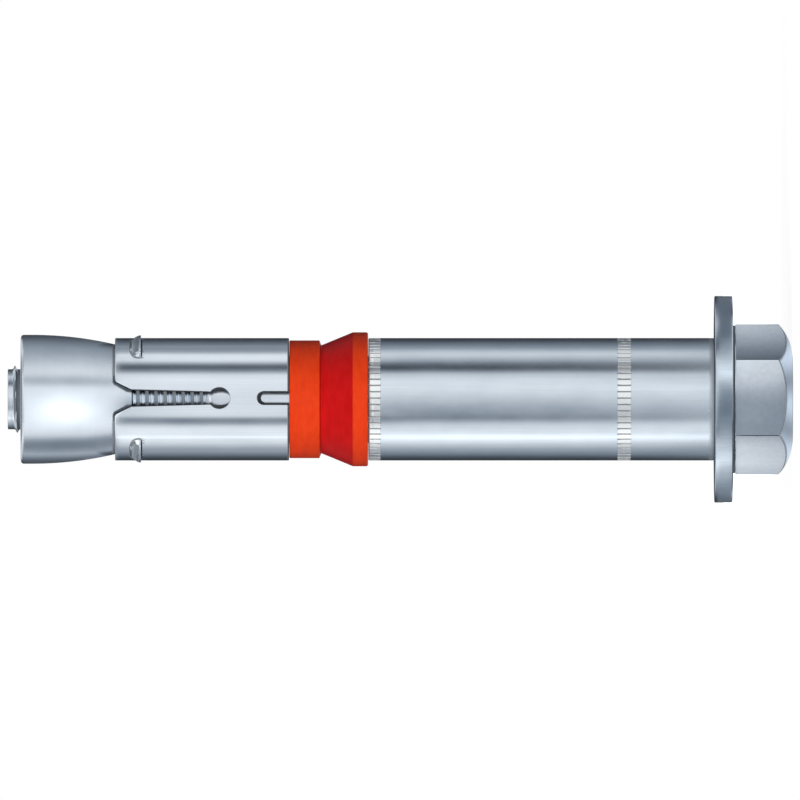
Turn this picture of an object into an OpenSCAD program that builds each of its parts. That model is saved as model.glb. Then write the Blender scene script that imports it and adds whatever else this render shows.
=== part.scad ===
// Sleeve anchor with a hex bolt, standing on its head: the head is at the bottom, the tip on top.
// The bolt carries a washer, a spacer sleeve, a plastic crush ring, a slit expansion sleeve
// and, screwed on its end, the cone nut that spreads the sleeve when the bolt is tightened.

/* [Hex bolt] */
// Nominal diameter of the thread and the shank
thread_d = 12; // [11:0.1:12.4]
// Width of the head across its flats
head_af = 18; // [17:0.1:19]
// Height of the hex part of the head
head_h = 7.9; // [7.2:0.1:9]
// Diameter of the flat on the end of the head
crown_flat_d = 11; // [9:0.5:13]
// Radius of the round from that flat to the hex faces
crown_r = 7; // [5:0.5:7]
// Diameter of the thin collar under the hex
collar_d = 20.4; // [17:0.1:20.6]
// Thickness of that collar
collar_h = 0.35; // [0.2:0.05:0.8]
// Fillet between the collar and the shank
neck_fillet = 0.4; // [0.2:0.05:0.4]
// How far the tip stands out of the cone nut
tip_proud = 1.8; // [1.6:0.1:3]
// Diameter of the plain pilot on the tip
pilot_d = 8.3; // [7.5:0.1:8.8]
// Length of that pilot
pilot_len = 0.8; // [0.5:0.05:1]
// Diameter of the ridge where the thread starts behind the pilot
ridge_d = 9.3; // [9:0.1:10]
// Pitch of the thread, which spaces the ridge from the first full turn
thread_pitch = 1.25; // [1:0.05:1.75]

/* [Washer] */
// Outside diameter of the washer
washer_d = 28.5; // [24:0.5:37]
// Thickness of the washer
washer_t = 2.5; // [2:0.1:4]
// Radius of the round on its rims
washer_round = 0.35; // [0.1:0.05:0.8]

/* [Spacer sleeve] */
// Outside diameter of both steel sleeves
sleeve_d = 16.9; // [16.5:0.1:17.4]
// Chamfer on the outer edges of both steel sleeves
edge_chamfer = 0.15; // [0.05:0.05:0.25]
// Length of the spacer sleeve
spacer_len = 47.7; // [40:0.1:80]
// Height of the lower knurled band above the foot of the sleeve
knurl_z = 11.5; // [6:0.1:20]
// Width of the lower knurled band
knurl_w = 1.86; // [1:0.02:3]
// Width of the knurled band at the top end
top_knurl_w = 1.68; // [1:0.02:3]
// Number of grooves round a knurled band
knurl_count = 60; // [40:1:80]
// Depth of a groove
knurl_depth = 0.14; // [0.06:0.01:0.25]
// Share of the pitch that a groove takes up
knurl_share = 0.4; // [0.2:0.05:0.7]

/* [Crush ring] */
// Diameter of the rim, which grips the drilled hole
rim_d = 18.5; // [17.6:0.1:19.5]
// Length of the rim
rim_len = 2.1; // [1.5:0.1:3]
// Radius of the round between rim and flare
rim_round = 0.3; // [0.1:0.05:0.6]
// Diameter of the weak neck that folds up
neck_d = 14.9; // [14.4:0.1:15.6]
// Length of the flare from the rim to the neck
flare_len = 4.36; // [3.5:0.1:6]
// Length of the step from the neck to the collar
step_len = 0.24; // [0.1:0.02:0.5]
// Diameter of the collar that backs the expansion sleeve
ring_collar_d = 16.25; // [15.8:0.05:16.5]
// Length of that collar
ring_collar_len = 4.15; // [3:0.05:6]

/* [Expansion sleeve] */
// Length of the expansion sleeve
expansion_len = 24; // [23:0.1:30]
// Number of slots, with a lug midway between each two
slot_count = 3; // [2:1:3]
// Width of a slot at its V mouth
mouth_w = 4.72; // [3.6:0.1:6]
// Depth of the V mouth
mouth_depth = 2.34; // [1.5:0.1:3]
// Radius of the rounded shoulders beside the V mouth
shoulder_r = 0.6; // [0.2:0.05:0.8]
// Width of the slot just behind the mouth
slot_w = 2.4; // [2:0.05:2.8]
// Width of the slot at its round end
slot_end_w = 1.8; // [1.4:0.05:2]
// Length of the slot from the mouth to the middle of its round end
slot_len = 14.4; // [12:0.1:15.5]
// Diameter of the round end
keyhole_d = 3; // [2.4:0.1:3.6]
// Width of the short slots at the other end
rear_slot_w = 1.9; // [1.4:0.05:2.4]
// Length of the short slots
rear_slot_len = 4.4; // [3:0.1:5.5]
// Height of a lug over the sleeve
lug_rise = 0.65; // [0.3:0.05:0.9]
// Length of a lug's ramp along the sleeve
lug_len = 1.56; // [1.2:0.05:2.2]
// Width of a lug round the sleeve
lug_w = 5.5; // [4:0.1:6.5]
// Distance of a lug's cut edge from the mouth
lug_from_mouth = 3.56; // [3.2:0.05:5]

/* [Cone nut] */
// Largest diameter of the cone nut
nut_d = 17.8; // [17.2:0.05:18.2]
// Length of the cone nut
nut_len = 15.35; // [14:0.05:18]
// Length of its straight land, from the round on its end
nut_land = 1.2; // [0.8:0.1:2.5]
// Radius of the round on the edge of its end
nut_round = 0.4; // [0.2:0.05:0.8]
// Radius of the curve along its flank
flank_r = 50; // [45:1:80]
// How deep it sits in the mouth of the expansion sleeve
nut_seat = 2.34; // [1.5:0.05:3]
// Chamfer at both ends of its thread
nut_chamfer = 0.4; // [0.2:0.05:0.5]

/* [Fits] */
// Gap between the shank and the bores of the sleeves and the ring
bore_clear = 0.25; // [0.1:0.05:0.4]
// Gap between the shank and the hole of the washer
washer_clear = 0.5; // [0.45:0.05:0.8]
// Gap between the nut's bore and the thread
thread_clear = 0.05; // [0.02:0.01:0.1]
// Gap between the cone nut and the mouth of the sleeve
cone_clear = 0.12; // [0.08:0.01:0.2]
// Gap between the pieces of the stack
seat_gap = 0.05; // [0.02:0.01:0.1]

/* [Hidden] */
$fn = 96;

STEEL = "lightsteelblue";
STEEL_DARK = "slategray";
PLASTIC = "orangered";

// Facets of the long curves on the head and the nut
FINE_FN = 360;
// How far a cut runs past the face it opens
EPS = 0.5;

shank_r = thread_d / 2;
bore_r = shank_r + bore_clear;
sleeve_r = sleeve_d / 2;
nut_r = nut_d / 2;
nut_bore_r = shank_r + thread_clear;

// Heights of the stack, from the end of the head upwards
bearing_z = head_h + collar_h;
washer_z = bearing_z + seat_gap;
spacer_z = washer_z + washer_t + seat_gap;
spacer_top = spacer_z + spacer_len;
ring_z = spacer_top + seat_gap;
ring_len = rim_len + flare_len + step_len + ring_collar_len;
sleeve_z = ring_z + ring_len + seat_gap;
mouth_z = sleeve_z + expansion_len;
nut_z = mouth_z - nut_seat;
nut_top = nut_z + nut_len;
tip_z = nut_top + tip_proud;

// The nut's flank leaves the straight land here and curves in towards the head
land_z = nut_top - nut_round - nut_land;
// Radius of the nut's flank at a height below the land
function flank_at(z) = nut_r - flank_r + sqrt(pow(flank_r, 2) - pow(land_z - z, 2));

// Taper inside the mouth of the sleeve: it follows the nut's flank and runs on to the bore
mouth_r = flank_at(mouth_z) + cone_clear;
seat_r = flank_at(nut_z) + cone_clear;
taper = (mouth_r - seat_r) / nut_seat;
taper_len = (mouth_r - bore_r) / taper;
// Radius of the taper at a height
function taper_at(z) = mouth_r - taper * (mouth_z - z);

// Shoulders of the V mouth: the slant of its flanks, the middle of each round and points along it
flank = atan2((mouth_w - slot_w) / 2, mouth_depth);
shoulder_x = mouth_w / 2 + shoulder_r * tan((90 - flank) / 2);
SHOULDER_STEPS = 8;
function shoulder_angle(i) = 90 + (90 - flank) * i / SHOULDER_STEPS;
function shoulder_point(side, i) = [
    side * (shoulder_x + shoulder_r * cos(shoulder_angle(i))),
    mouth_z - shoulder_r + shoulder_r * sin(shoulder_angle(i)),
];

// The plan of a lug is a segment of this circle, cut off straight on its head side
lug_r = (pow(lug_w / 2, 2) + pow(lug_len, 2)) / (2 * lug_len);
lug_z = mouth_z - lug_from_mouth;
// How far the hollow behind a lug runs out of the wall, so that it ends in a clean edge
HOLLOW_RUNOUT = 0.1;

// A square with its two outer corners rounded, from the axis outwards
module round_block(w, h, r) {
    square([w - r, h]);
    translate([0, r])
        square([w, h - 2 * r]);
    for (y = [r, h - r])
        translate([w - r, y])
            circle(r = r);
}

// A copy of the children at each slot, turned by an angle
module round_the_slots(turn = 0) {
    for (i = [0 : slot_count - 1])
        rotate([0, 0, turn + i * 360 / slot_count])
            children();
}

// Lays a drawing in X and height on the front of the sleeve and cuts it inwards to the axis
module front_cut() {
    rotate([90, 0, 0])
        linear_extrude(height = sleeve_r + lug_rise + EPS)
            children();
}

// Hexagon of the head, with its end rounded to a flat
module hex_head() {
    crown_w = crown_flat_d / 2 + crown_r;
    intersection() {
        cylinder(d = head_af / cos(30), h = head_h, $fn = 6);
        rotate_extrude($fn = FINE_FN)
            intersection() {
                square([crown_w, head_h]);
                union() {
                    square([crown_flat_d / 2, head_h]);
                    translate([crown_flat_d / 2, crown_r])
                        circle(r = crown_r, $fn = FINE_FN);
                    translate([0, crown_r])
                        square([crown_w, head_h]);
                }
            }
    }
}

// Half section of the shank, the thread's envelope and the tip
module shank_profile() {
    ridge_z = tip_z - pilot_len - (ridge_d - pilot_d) / 2;
    groove_z = ridge_z - (ridge_d - pilot_d) / 2;
    full_z = groove_z - thread_pitch;
    polygon([
        [0, bearing_z - EPS],
        [shank_r, bearing_z - EPS],
        [shank_r, full_z],
        [pilot_d / 2, groove_z],
        [ridge_d / 2, ridge_z],
        [pilot_d / 2, tip_z - pilot_len],
        [pilot_d / 2, tip_z],
        [0, tip_z],
    ]);
}

// Hollow corner of the fillet between the collar and the shank
module neck_profile() {
    difference() {
        translate([0, bearing_z])
            square([shank_r + neck_fillet, neck_fillet]);
        translate([shank_r + neck_fillet, bearing_z + neck_fillet])
            circle(r = neck_fillet);
    }
}

module hex_bolt() {
    color(STEEL) {
        hex_head();
        translate([0, 0, head_h])
            cylinder(d = collar_d, h = collar_h);
        rotate_extrude() {
            shank_profile();
            neck_profile();
        }
    }
}

module washer() {
    color(STEEL_DARK)
        translate([0, 0, washer_z])
            rotate_extrude()
                difference() {
                    round_block(washer_d / 2, washer_t, washer_round);
                    translate([0, -EPS])
                        square([shank_r + washer_clear, washer_t + 2 * EPS]);
                }
}

// Grooves of a knurled band: V cuts along the sleeve, evenly spaced round it
module knurl_grooves(w) {
    pitch = 360 / knurl_count;
    half_w = sleeve_r * sin(pitch * knurl_share / 2);
    linear_extrude(height = w)
        for (i = [0 : knurl_count - 1])
            rotate([0, 0, i * pitch])
                polygon([
                    [sleeve_r - knurl_depth, 0],
                    [sleeve_r + knurl_depth, -2 * half_w],
                    [sleeve_r + knurl_depth, 2 * half_w],
                ]);
}

// Half section of the spacer sleeve: a tube with chamfered edges
module spacer_profile() {
    polygon([
        [bore_r, 0],
        [sleeve_r - edge_chamfer, 0],
        [sleeve_r, edge_chamfer],
        [sleeve_r, spacer_len - edge_chamfer],
        [sleeve_r - edge_chamfer, spacer_len],
        [bore_r, spacer_len],
    ]);
}

module spacer_sleeve() {
    color(STEEL)
        translate([0, 0, spacer_z])
            difference() {
                rotate_extrude()
                    spacer_profile();
                translate([0, 0, knurl_z])
                    knurl_grooves(knurl_w);
                translate([0, 0, spacer_len - top_knurl_w])
                    knurl_grooves(top_knurl_w + EPS);
            }
}

// Half section of the plastic ring, from its rim up to its collar
module ring_profile() {
    flare_z = rim_len;
    neck_z = flare_z + flare_len;
    step_z = neck_z + step_len;
    round_block(rim_d / 2, rim_len, rim_round);
    polygon([
        [0, rim_len - rim_round],
        [rim_d / 2 - rim_round, rim_len - rim_round],
        [rim_d / 2 - rim_round, flare_z],
        [neck_d / 2, neck_z],
        [ring_collar_d / 2, step_z],
        [ring_collar_d / 2, ring_len],
        [0, ring_len],
    ]);
}

module crush_ring() {
    color(PLASTIC)
        translate([0, 0, ring_z])
            rotate_extrude()
                difference() {
                    ring_profile();
                    translate([0, -EPS])
                        square([bore_r, ring_len + 2 * EPS]);
                }
}

// Half section of the expansion sleeve: a tube with chamfered edges and a tapered mouth
module sleeve_profile() {
    polygon([
        [bore_r, sleeve_z],
        [sleeve_r - edge_chamfer, sleeve_z],
        [sleeve_r, sleeve_z + edge_chamfer],
        [sleeve_r, mouth_z - edge_chamfer],
        [sleeve_r - edge_chamfer, mouth_z],
        [mouth_r, mouth_z],
        [bore_r, mouth_z - taper_len],
    ]);
}

// A long slot: V mouth with rounded shoulders, tapering slit and round end
module slot_shape() {
    end_z = mouth_z - slot_len;
    polygon([
        [-shoulder_x, mouth_z + EPS],
        [shoulder_x, mouth_z + EPS],
        for (i = [0 : SHOULDER_STEPS]) shoulder_point(1, i),
        [slot_w / 2, mouth_z - mouth_depth],
        [slot_end_w / 2, end_z],
        [-slot_end_w / 2, end_z],
        [-slot_w / 2, mouth_z - mouth_depth],
        for (i = [SHOULDER_STEPS : -1 : 0]) shoulder_point(-1, i),
    ]);
    translate([0, end_z])
        circle(d = keyhole_d);
}

// A short slot with a round end, open towards the plastic ring
module rear_slot_shape() {
    straight = rear_slot_len - rear_slot_w / 2;
    translate([-rear_slot_w / 2, sleeve_z - EPS])
        square([rear_slot_w, straight + EPS]);
    translate([0, sleeve_z + straight])
        circle(d = rear_slot_w);
}

// A wedge with the plan of a lug: from a radius inside out to a ramp between two radii
module lug_wedge(inner_r, edge_r, end_r) {
    intersection() {
        rotate_extrude()
            polygon([
                [inner_r, lug_z],
                [edge_r, lug_z],
                [end_r, lug_z + lug_len],
                [inner_r, lug_z + lug_len],
            ]);
        front_cut()
            translate([0, lug_z + lug_len - lug_r])
                circle(r = lug_r);
    }
}

// A lug pressed out of the wall: it ramps up from the mouth and ends in a cut edge
module lug() {
    lug_wedge((bore_r + sleeve_r) / 2, sleeve_r + lug_rise, sleeve_r);
}

// The hollow that the punch leaves on the inside, behind a lug
module lug_hollow() {
    end_r = taper_at(lug_z + lug_len) - HOLLOW_RUNOUT;
    lug_wedge(shank_r, taper_at(lug_z) + lug_rise, end_r);
}

module expansion_sleeve() {
    color(STEEL)
        difference() {
            union() {
                rotate_extrude()
                    sleeve_profile();
                round_the_slots(turn = 180 / slot_count)
                    lug();
            }
            round_the_slots(turn = 180 / slot_count)
                lug_hollow();
            round_the_slots()
                front_cut() {
                    slot_shape();
                    rear_slot_shape();
                }
        }
}

// Half section of the cone nut without its bore: straight land on top, curved flank below
module nut_profile() {
    translate([0, land_z])
        difference() {
            translate([0, -nut_round])
                round_block(nut_r, nut_top - land_z + nut_round, nut_round);
            translate([0, -nut_round - EPS])
                square([nut_r + EPS, nut_round + EPS]);
        }
    intersection() {
        translate([0, nut_z])
            square([nut_r, land_z - nut_z]);
        translate([nut_r - flank_r, land_z])
            circle(r = flank_r, $fn = FINE_FN);
    }
}

// Half section of the nut's bore, with a chamfer at both ends
module nut_bore_profile() {
    wide_r = nut_bore_r + nut_chamfer;
    polygon([
        [0, nut_z - EPS],
        [wide_r, nut_z - EPS],
        [wide_r, nut_z],
        [nut_bore_r, nut_z + nut_chamfer],
        [nut_bore_r, nut_top - nut_chamfer],
        [wide_r, nut_top],
        [wide_r, nut_top + EPS],
        [0, nut_top + EPS],
    ]);
}

module cone_nut() {
    color(STEEL)
        rotate_extrude()
            difference() {
                nut_profile();
                nut_bore_profile();
            }
}

hex_bolt();
washer();
spacer_sleeve();
crush_ring();
expansion_sleeve();
cone_nut();
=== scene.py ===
# %% [markdown]
# # A sleeve anchor, dressed in Blender
#
# The anchor has six pieces on one axis: a hex bolt, a washer, a knurled spacer sleeve, a plastic
# crush ring, a slit expansion sleeve and a cone nut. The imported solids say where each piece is
# and how it moves. This lesson builds a finer mesh for each of them, gives it a finish, and then
# lights the whole as a photographer lights polished metal.

import math

import bmesh
import bpy
import numpy as np
from mathutils import Matrix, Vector
from mathutils.geometry import delaunay_2d_cdt


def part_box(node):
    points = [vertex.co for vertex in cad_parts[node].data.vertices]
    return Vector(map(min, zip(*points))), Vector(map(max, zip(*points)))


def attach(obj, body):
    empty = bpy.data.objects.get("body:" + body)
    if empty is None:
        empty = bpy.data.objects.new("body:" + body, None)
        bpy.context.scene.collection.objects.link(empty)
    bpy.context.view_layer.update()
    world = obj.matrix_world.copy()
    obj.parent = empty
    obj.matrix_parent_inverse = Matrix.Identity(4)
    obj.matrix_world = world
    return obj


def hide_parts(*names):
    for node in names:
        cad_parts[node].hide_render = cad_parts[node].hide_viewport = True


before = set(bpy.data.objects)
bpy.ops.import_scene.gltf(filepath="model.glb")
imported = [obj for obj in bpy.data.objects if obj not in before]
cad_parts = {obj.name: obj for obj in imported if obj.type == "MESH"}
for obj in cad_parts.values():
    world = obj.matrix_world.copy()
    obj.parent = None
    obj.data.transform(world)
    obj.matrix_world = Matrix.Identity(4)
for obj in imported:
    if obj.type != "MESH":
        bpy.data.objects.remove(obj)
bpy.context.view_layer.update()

# %% [markdown]
# ## Measures
#
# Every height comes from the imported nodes, so the meshes sit exactly on the solids. A node's box
# gives its foot, its top and its radius in metres. The lesson works in millimetres, because that
# is how a fastener is drawn, and turns them into metres at the last moment.

# %% Heights and radii of the pieces, in millimetres
MM = 0.001


def foot_top_radius(node):
    """Lowest height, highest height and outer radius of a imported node, in millimetres."""
    low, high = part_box(node)
    return low.z / MM, high.z / MM, high.x / MM


_, bolt_tip, _ = foot_top_radius("hex_bolt")
washer_foot, washer_top, washer_r = foot_top_radius("washer")
spacer_foot, spacer_top, sleeve_r = foot_top_radius("spacer_sleeve")
ring_foot, ring_top, rim_r = foot_top_radius("crush_ring")
sleeve_foot, mouth_z, _ = foot_top_radius("expansion_sleeve")
nut_foot, nut_top, nut_r = foot_top_radius("cone_nut")
shank_r, bore_r = 6.0, 6.25
print(f"tip {bolt_tip:.2f}, washer {washer_foot:.2f} to {washer_top:.2f}, mouth {mouth_z:.2f} mm")

# %% [markdown]
# ## From points to a mesh
#
# Turned and drawn metal is easiest to describe as rows of points round an axis: `wound` gives the
# points and `quads` the faces between them. Blender's own Screw modifier could spin a profile too,
# but rows of points also take grooves, hex flats and threads. `finished` welds the seams, turns
# the faces outwards and marks the edges that should stay crisp.

# %% Finished meshes
CRISP = math.radians(32)


def placed(name, data):
    """A new object with that data, linked to the scene."""
    made = bpy.data.objects.new(name, data)
    bpy.context.scene.collection.objects.link(made)
    return made


def finished(name, points, faces, weld=0.0004, shade_share=None):
    """A mesh object from points in millimetres, welded, smooth, with crisp edges marked."""
    mesh = bpy.data.meshes.new(name)
    mesh.from_pydata((np.asarray(points, float) * MM).tolist(), [], faces)
    if shade_share is not None:
        mark = mesh.attributes.new("shade_share", "FLOAT", "POINT")
        mark.data.foreach_set("value", np.asarray(shade_share, np.float32).ravel())
    form = bmesh.new()
    form.from_mesh(mesh)
    bmesh.ops.remove_doubles(form, verts=form.verts, dist=weld * MM)
    bmesh.ops.dissolve_degenerate(form, edges=form.edges, dist=weld * MM)
    bmesh.ops.recalc_face_normals(form, faces=form.faces)
    for face in form.faces:
        face.smooth = True
    for edge in form.edges:
        edge.smooth = not (edge.is_manifold and edge.calc_face_angle() > CRISP)
    open_edges = sum(not edge.is_manifold for edge in form.edges)
    form.to_mesh(mesh)
    form.free()
    print(f"{name}: {len(mesh.polygons)} faces, {open_edges} open edges")
    return placed(name, mesh)


# %% Rows of points round the axis
def quads(rows, columns, closed=False, first=0):
    """Faces between rows of points that run round the axis, row after row."""
    return [
        (
            first + i * columns + j,
            first + i * columns + (j + 1) % columns,
            first + (i + 1) % rows * columns + (j + 1) % columns,
            first + (i + 1) % rows * columns + j,
        )
        for i in range(rows if closed else rows - 1)
        for j in range(columns)
    ]


def around(radii, heights, angles):
    """Points at each radius and height, turned to each angle."""
    radii, heights, angles = np.broadcast_arrays(radii, heights, angles)
    x, y = radii * np.cos(angles), radii * np.sin(angles)
    return np.stack([x, y, heights], -1).reshape(-1, 3)


def wound(rows, angles):
    """Points of rows of (radius, height), each a number or one value for each angle."""
    return np.concatenate([around(radius, height, angles) for radius, height in rows])


# %% [markdown]
# ## Shader maths as Python
#
# A finish mixes colours, noise and masks. Wiring that by hand hides the idea, so one small class
# wraps a socket: adding or multiplying two of them adds a Math node, and `node` creates any other
# kind from its type, its settings and its inputs.

# %% The socket class
class Tone:
    """A value, colour or vector in a material's node tree."""

    def __init__(self, tree, socket):
        self.tree, self.socket = tree, socket

    def node(self, kind, settings=None, out=0, **inputs):
        """A new node of that kind; inputs go by socket name, with _ for a space."""
        made = self.tree.nodes.new(kind)
        for key, value in (settings or {}).items():
            setattr(made, key, value)
        for key, value in inputs.items():
            self.feed(made, key, value)
        return Tone(self.tree, made.outputs[out])

    def feed(self, made, key, value):
        """Links a tone to a socket, or sets the socket to a plain value."""
        index = int(key[1:]) if key[0] == "i" and key[1:].isdigit() else key.replace("_", " ")
        socket = made.inputs[index]
        if isinstance(value, Tone):
            self.tree.links.new(value.socket, socket)
        else:
            socket.default_value = value

    def math(self, operation, *values):
        """A Math node over these values."""
        inputs = {f"i{k}": value for k, value in enumerate(values)}
        return self.node("ShaderNodeMath", {"operation": operation}, **inputs)

    def __add__(self, other):
        return self.math("ADD", self, other)

    def __radd__(self, other):
        return self.math("ADD", other, self)

    def __sub__(self, other):
        return self.math("SUBTRACT", self, other)

    def __rsub__(self, other):
        return self.math("SUBTRACT", other, self)

    def __mul__(self, other):
        return self.math("MULTIPLY", self, other)

    def __rmul__(self, other):
        return self.math("MULTIPLY", other, self)

    def between(self, low, high):
        """0 below low, 1 above high, smooth in between."""
        settings = {"interpolation_type": "SMOOTHSTEP", "clamp": True}
        return self.node("ShaderNodeMapRange", settings, Value=self, From_Min=low, From_Max=high)

    def within(self, low, full, fall, high):
        """0 below low and above high, 1 from full to fall, smooth in between."""
        return self.between(low, full) * self.between(high, fall)

    def mix(self, low, high):
        """The colour low where this is 0 and high where it is 1."""
        return self.node("ShaderNodeMix", {"data_type": "RGBA"}, 2, i0=self, i6=low, i7=high)

    def stretched(self, x, y, z):
        """This vector times another, component by component."""
        settings = {"operation": "MULTIPLY"}
        return self.node("ShaderNodeVectorMath", settings, i0=self, i1=(x, y, z))

    def scaled(self, share):
        """This colour or vector, times a value."""
        return self.node("ShaderNodeVectorMath", {"operation": "SCALE"}, i0=self, Scale=share)

    def noise(self, detail=2.0, roughness=0.5):
        """Smooth noise over this vector, from 0 to 1."""
        inputs = {"Vector": self, "Scale": 1.0, "Detail": detail, "Roughness": roughness}
        return self.node("ShaderNodeTexNoise", **inputs)


# %% [markdown]
# Every finish starts from the place on the piece, in millimetres, because a finish that knows
# heights and radii needs no painted texture. A few helpers take the place apart, and `coat` feeds
# the colour, roughness and relief of a finish to its shader.

# %% Helpers for finishes
def place_on_piece(tree):
    """The place on a piece, in millimetres."""
    return Tone(tree, None).node("ShaderNodeTexCoord", out="Object").scaled(1 / MM)


def new_material(name):
    """A material with its surface shader, and the place on the piece."""
    material = bpy.data.materials.new(name)
    material.use_nodes = True
    tree = material.node_tree
    return material, tree.nodes["Principled BSDF"], place_on_piece(tree)


def xyz(place):
    """The three parts of a place."""
    parts = place.node("ShaderNodeSeparateXYZ", Vector=place).socket.node
    return [Tone(place.tree, part) for part in parts.outputs]


def height_and_radius(place):
    """Height of a place along the axis and its distance from it."""
    x, y, z = xyz(place)
    return z, place.math("SQRT", x * x + y * y)


def coat(shader, place, colour, rough, relief, strength, depth):
    """Feeds the colour, roughness and relief of a finish to its shader."""
    place.feed(shader, "Base_Color", colour)
    place.feed(shader, "Roughness", rough)
    bump = place.node("ShaderNodeBump", Strength=strength, Distance=depth * MM, Height=relief)
    place.feed(shader, "Normal", bump)


print("shader helpers ready")

# %% [markdown]
# ## Bright zinc on steel
#
# The steel is plated with zinc and passivated, which leaves a cool, faintly blue metal. It is one
# shader with three sizes of detail: clouds of a millimetre or more where the bath left the layer
# thicker, the lines that drawing or turning left in the steel, and a fine grain. The lines run
# along the axis on drawn tube and round it on turned work, which only takes a stretched vector.
# Edges are rubbed bright, and hollows are painted a little grey as painted shade.

# %% Zinc finish
RUBBED, SHEEN_WHITE = (0.86, 0.88, 0.9, 1), (0.97, 1.0, 1.0, 1)
STREAK, HOLLOW_SHADE, SHADE_COLOUR = (0.4, 0.43, 0.47, 1), (0.2, 0.215, 0.23, 1), (0.03, 0.033, 0.037, 1)


def zinc(
    name, cool, warm, along, lines, rough=0.15, rub=0.5,
    turned_too=None, shaded=None, pressed=None,
):
    """Zinc-plated steel: along is how many lines a millimetre has on each axis."""
    material, shader, place = new_material(name)
    clouds = place.stretched(0.35, 0.35, 0.18).noise(3.0)
    grain = place.stretched(14, 14, 14).noise(1.0)
    drawn = place.stretched(*along).noise(2.0, 0.6)
    if turned_too:
        height, _ = height_and_radius(place)
        start, end, other = turned_too
        there = height.between(start, end)
        drawn = drawn * (1 - there) + place.stretched(*other).noise(2.0, 0.6) * there
    edge = place.node("ShaderNodeNewGeometry", out="Pointiness")
    worn = edge.between(0.52, 0.6)
    # Painted shade: concave places, found by pointiness, are painted a little grey
    cavity_shade = edge.between(0.48, 0.4)
    tint = clouds.between(0.3, 0.7).mix((*cool, 1), (*warm, 1))
    streaked = (drawn.between(0.25, 0.8) * 0.22 * lines).mix(tint, STREAK)
    rubbed = (worn * rub).mix(streaked, RUBBED)
    dull = (cavity_shade * 0.45).mix(rubbed, HOLLOW_SHADE)
    mottled = rough + (clouds - 0.5) * 0.06 + (drawn - 0.5) * 0.06 * lines + (grain - 0.5) * 0.03
    metal = 1.0
    # Painted sheen: the knurled bands are rougher, and their colour is painted brighter for the
    # light the rough knurl scatters
    if pressed:
        knurl_sheen = pressed(place)
        dull = (knurl_sheen * 0.85).mix(dull, SHEEN_WHITE)
        mottled = mottled + knurl_sheen * 0.06
    # Painted shade: where a shaded mask is 1 the colour turns near-black and less metallic
    if shaded:
        dark = shaded(place)
        dull = dark.mix(dull, SHADE_COLOUR)
        mottled = mottled + dark * 0.5
        metal = 1 - dark
    place.feed(shader, "Metallic", metal)
    mottled = mottled - worn * 0.05 + cavity_shade * 0.1
    coat(shader, place, dull, mottled, drawn * 0.7 * lines + grain * 0.3, 0.05, 0.02)
    print("finish:", name)
    return material


# %% [markdown]
# The spacer sleeve is drawn tube, so its lines run along the axis. The knurling wheel has
# roughened two bands, which are also painted brighter as painted sheen. Painted shade darkens
# their grooves, and a painted contact shadow lies against the washer. Masks over height and radius
# find those places.

# %% Zinc on the spacer sleeve
DRAWN = (7.0, 7.0, 0.05)
LOW_BAND = (spacer_foot + 11.5, spacer_foot + 13.36)
TOP_BAND = (spacer_top - 1.68, spacer_top)


def knurled(place):
    """1 on the two knurled bands of the spacer sleeve, whose skin the wheel has roughened."""
    height, _ = height_and_radius(place)
    (start, end), (top_start, _) = LOW_BAND, TOP_BAND
    low = height.within(start, start + 0.1, end - 0.1, end)
    return low + height.between(top_start, top_start + 0.1)


def grooves(place):
    """1 at the bottom of the knurl's grooves and against the washer: painted shade and contact
    shadow.
    """
    height, radius = height_and_radius(place)
    against = 0.55 * height.between(spacer_foot + 0.9, spacer_foot + 0.05)
    return 0.6 * knurled(place) * radius.between(sleeve_r - 0.01, sleeve_r - 0.09) + against


sleeve_zinc = zinc(
    "zinc_on_drawn_tube", (0.66, 0.74, 0.82), (0.71, 0.79, 0.87), DRAWN,
    lines=0.6, rub=0.2, shaded=grooves, pressed=knurled,
)


# %% [markdown]
# The expansion sleeve is drawn tube too. The cut walls of its slots see little light, so a mask
# paints shade on what lies deeper than the outer skin. Painted shade also lies in the scoops of
# its lugs, along their outlines and cut edges, and in a line at the foot. The scoops have no
# height or radius of their own, so the mesh itself marks them.

# %% Zinc on the expansion sleeve
def marked_shade(place):
    """The share of painted shade that a mesh carries at each of its points."""
    return place.node("ShaderNodeAttribute", {"attribute_name": "shade_share"}, out="Fac")


def inside_wall(place):
    """Painted shade: 1 in the slit tube's wall, in a lug's marked parts and in a line at the foot.
    """
    height, radius = height_and_radius(place)
    end = 0.9 * height.between(sleeve_foot + 0.24, sleeve_foot + 0.16)
    wall = 0.95 * radius.between(sleeve_r - 0.08, sleeve_r - 0.25)
    return place.math("MAXIMUM", place.math("MAXIMUM", marked_shade(place), end), wall)


spread_zinc = zinc(
    "zinc_on_slit_tube", (0.72, 0.79, 0.86), (0.76, 0.83, 0.9), DRAWN,
    lines=0.5, rub=0.1, shaded=inside_wall,
)


# %% [markdown]
# The nut is turned, with lines that run round it, and the washer is stamped. A painted contact
# shadow lies on the nut where the sleeve's fingers touch it. It breaks off at the three slots, so
# its mask comes from the angle round the axis.

# %% Zinc on the nut and the washer
TURNED, STAMPED = (0.12, 0.12, 9.0), (5.0, 5.0, 0.4)
SLOTS = 3


def finger_contact_shadow(place):
    """1 where the sleeve's fingers lie against the cone: a painted contact shadow, not in the
    slots.
    """
    x, y, height = xyz(place)
    from_slot = place.math("ARCTAN2", y, x) + np.pi / 2
    covered = place.math("COSINE", from_slot * SLOTS).between(0.45, 0.05)
    return 0.5 * covered * height.between(mouth_z + 0.5, mouth_z + 0.1)


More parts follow.
